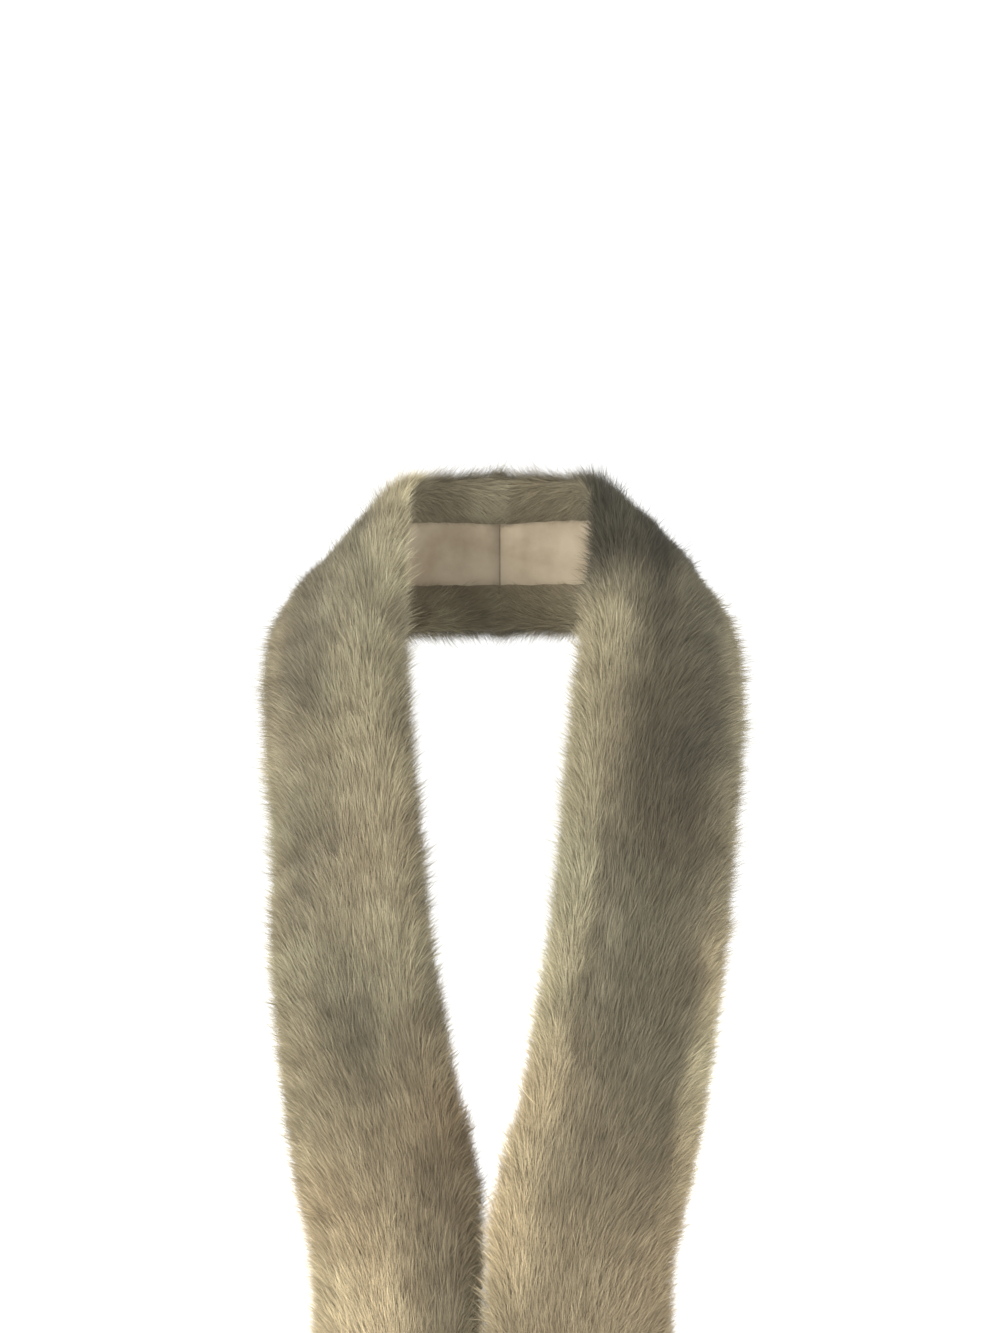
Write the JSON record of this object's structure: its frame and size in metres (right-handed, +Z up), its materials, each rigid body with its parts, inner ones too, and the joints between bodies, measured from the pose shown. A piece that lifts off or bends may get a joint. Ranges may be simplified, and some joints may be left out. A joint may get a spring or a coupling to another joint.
{
  "type": "fur collar wrap",
  "caption": "Long fur collar wrap worn open: it stands round the back of the neck, lies over the shoulders and hangs down the front, where its ends meet below an open V.",
  "frame": {"origin": "on the wrap's inner face at the nape seam, halfway between its upper and lower edges, where the wearer's neck carries it", "axes": "+Z up, -Y to the wearer's front, +X to the wearer's left"},
  "size_m": [0.2415, 0.2193, 0.4829],
  "materials": {
    "fur": "dense short-haired fur, grey beige, soft sheen",
    "skin": "suede-like skin side of the pelt, matte"
  },
  "bodies": {
    "root": {"right_pelt": "fur", "left_pelt": "fur"}
  },
  "joints": []
}
